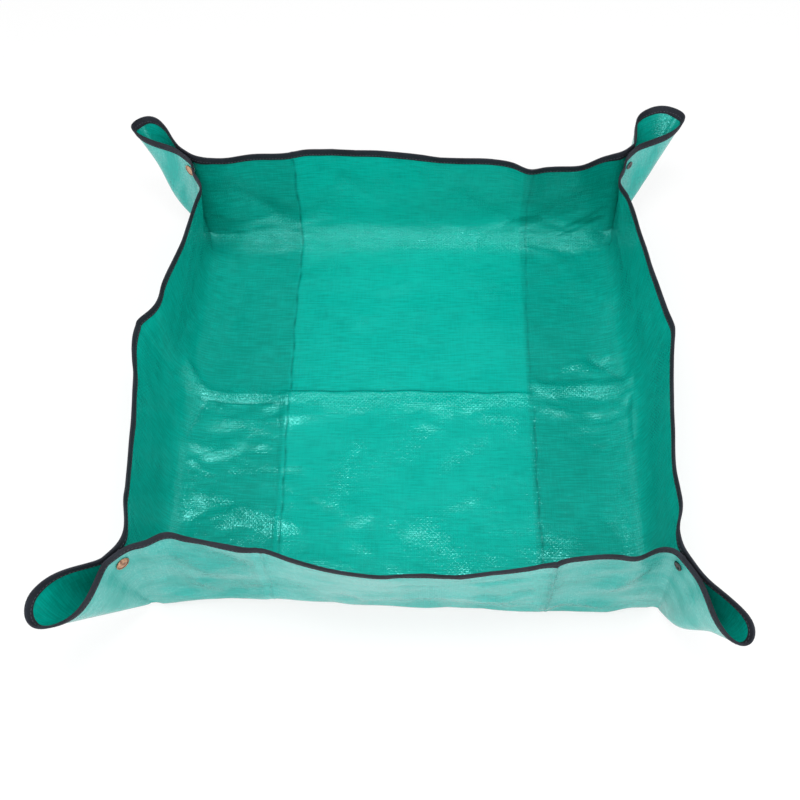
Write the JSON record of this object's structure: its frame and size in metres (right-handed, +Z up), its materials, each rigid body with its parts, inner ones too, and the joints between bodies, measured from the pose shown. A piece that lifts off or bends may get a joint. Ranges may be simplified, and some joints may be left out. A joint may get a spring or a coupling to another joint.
{
  "type": "repotting mat",
  "caption": "Square sheet of coated woven cloth with a taped edge, snapped at its corners into a shallow open tray for potting work.",
  "frame": {"origin": "middle of the floor, on the plane that the mat stands on", "axes": "+Z up, -Y to the front edge, +X to the right"},
  "size_m": [0.5947, 0.6072, 0.1209],
  "materials": {
    "floor_sheet": "woven polyethylene cloth with a thin clear coating, semi-gloss",
    "wall_sheet": "woven polyethylene cloth with a thin clear coating, semi-gloss, milky on its outer face",
    "ear_sheet": "woven polyethylene cloth with a thin clear coating, semi-gloss, milky on its outer face",
    "binding": "ribbed polypropylene tape, matt, with one row of stitches",
    "cap": "plated press-stud cap, satin",
    "stud": "plated press-stud pressing, dark nickel",
    "spring": "bright spring wire"
  },
  "bodies": {
    "root": {"floor_panel": "floor_sheet"},
    "wall_front": {"front_wall": "wall_sheet", "front_tape": "binding"},
    "wall_right": {"right_wall": "wall_sheet", "right_tape": "binding"},
    "wall_back": {"back_wall": "wall_sheet", "back_tape": "binding"},
    "wall_left": {"left_wall": "wall_sheet", "left_tape": "binding"},
    "front_left_cap_half": {"front_left_cap_ear": "ear_sheet", "front_left_cap_ear_tape": "binding", "front_left_snap_cap": "cap", "front_left_snap_socket": "stud", "front_left_snap_spring": "spring"},
    "front_left_stud_half": {"front_left_stud_ear": "ear_sheet", "front_left_stud_ear_tape": "binding", "front_left_snap_stud": "stud", "front_left_snap_post": "stud"},
    "front_right_cap_half": {"front_right_cap_ear": "ear_sheet", "front_right_cap_ear_tape": "binding", "front_right_snap_cap": "cap", "front_right_snap_socket": "stud", "front_right_snap_spring": "spring"},
    "front_right_stud_half": {"front_right_stud_ear": "ear_sheet", "front_right_stud_ear_tape": "binding", "front_right_snap_stud": "stud", "front_right_snap_post": "stud"},
    "back_right_cap_half": {"back_right_cap_ear": "ear_sheet", "back_right_cap_ear_tape": "binding", "back_right_snap_cap": "cap", "back_right_snap_socket": "stud", "back_right_snap_spring": "spring"},
    "back_right_stud_half": {"back_right_stud_ear": "ear_sheet", "back_right_stud_ear_tape": "binding", "back_right_snap_stud": "stud", "back_right_snap_post": "stud"},
    "back_left_cap_half": {"back_left_cap_ear": "ear_sheet", "back_left_cap_ear_tape": "binding", "back_left_snap_cap": "cap", "back_left_snap_socket": "stud", "back_left_snap_spring": "spring"},
    "back_left_stud_half": {"back_left_stud_ear": "ear_sheet", "back_left_stud_ear_tape": "binding", "back_left_snap_stud": "stud", "back_left_snap_post": "stud"}
  },
  "joints": [
    {"name": "front_fold", "type": "hinge", "parent": "root", "child": "wall_front", "pos_m": [0, -0.2245, 0.00348], "axis": [1, 0, 0], "range_deg": [0, 65]},
    {"name": "right_fold", "type": "hinge", "parent": "root", "child": "wall_right", "pos_m": [0.2245, 0, 0.00348], "axis": [0, 1, 0], "range_deg": [0, 69]},
    {"name": "back_fold", "type": "hinge", "parent": "root", "child": "wall_back", "pos_m": [0, 0.2245, 0.00348], "axis": [-1, 0, 0], "range_deg": [0, 74.5]},
    {"name": "left_fold", "type": "hinge", "parent": "root", "child": "wall_left", "pos_m": [-0.2245, 0, 0.00348], "axis": [0, -1, 0], "range_deg": [0, 67]},
    {"name": "front_left_crease", "type": "hinge", "parent": "wall_front", "child": "front_left_cap_half", "pos_m": [-0.2245, -0.2245, 0.00348], "axis": [0.0389, 0.0083, 0.9992], "range_deg": [-52, 0]},
    {"name": "front_left_keel", "type": "hinge", "parent": "front_left_cap_half", "child": "front_left_stud_half", "pos_m": [-0.2245, -0.2245, 0.00348], "axis": [-0.4349, -0.4746, 0.7652], "range_deg": [0, 152]},
    {"name": "front_right_crease", "type": "hinge", "parent": "wall_right", "child": "front_right_cap_half", "pos_m": [0.2245, -0.2245, 0.00348], "axis": [-0.0083, 0.0389, 0.9992], "range_deg": [-21, 0]},
    {"name": "front_right_keel", "type": "hinge", "parent": "front_right_cap_half", "child": "front_right_stud_half", "pos_m": [0.2245, -0.2245, 0.00348], "axis": [0.2938, -0.5767, 0.7623], "range_deg": [0, 127]},
    {"name": "back_right_crease", "type": "hinge", "parent": "wall_back", "child": "back_right_cap_half", "pos_m": [0.2245, 0.2245, 0.00348], "axis": [-0.0389, -0.0083, 0.9992], "range_deg": [-56, 0]},
    {"name": "back_right_keel", "type": "hinge", "parent": "back_right_cap_half", "child": "back_right_stud_half", "pos_m": [0.2245, 0.2245, 0.00348], "axis": [0.4524, 0.4684, 0.7589], "range_deg": [0, 164]},
    {"name": "back_left_crease", "type": "hinge", "parent": "wall_left", "child": "back_left_cap_half", "pos_m": [-0.2245, 0.2245, 0.00348], "axis": [0.0083, -0.0389, 0.9992], "range_deg": [-52, 0]},
    {"name": "back_left_keel", "type": "hinge", "parent": "back_left_cap_half", "child": "back_left_stud_half", "pos_m": [-0.2245, 0.2245, 0.00348], "axis": [-0.496, 0.4236, 0.758], "range_deg": [0, 160]}
  ],
  "couplings": [
    {"joint": "right_fold", "follows": "front_fold", "ratio": 1.0615},
    {"joint": "back_fold", "follows": "front_fold", "ratio": 1.1462},
    {"joint": "left_fold", "follows": "front_fold", "ratio": 1.0308},
    {"joint": "front_left_crease", "follows": "front_fold", "ratio": -0.8},
    {"joint": "front_left_keel", "follows": "front_fold", "ratio": 2.3385},
    {"joint": "front_right_crease", "follows": "front_fold", "ratio": -0.32307},
    {"joint": "front_right_keel", "follows": "front_fold", "ratio": 1.9538},
    {"joint": "back_right_crease", "follows": "front_fold", "ratio": -0.86153},
    {"joint": "back_right_keel", "follows": "front_fold", "ratio": 2.5231},
    {"joint": "back_left_crease", "follows": "front_fold", "ratio": -0.8},
    {"joint": "back_left_keel", "follows": "front_fold", "ratio": 2.4615}
  ]
}
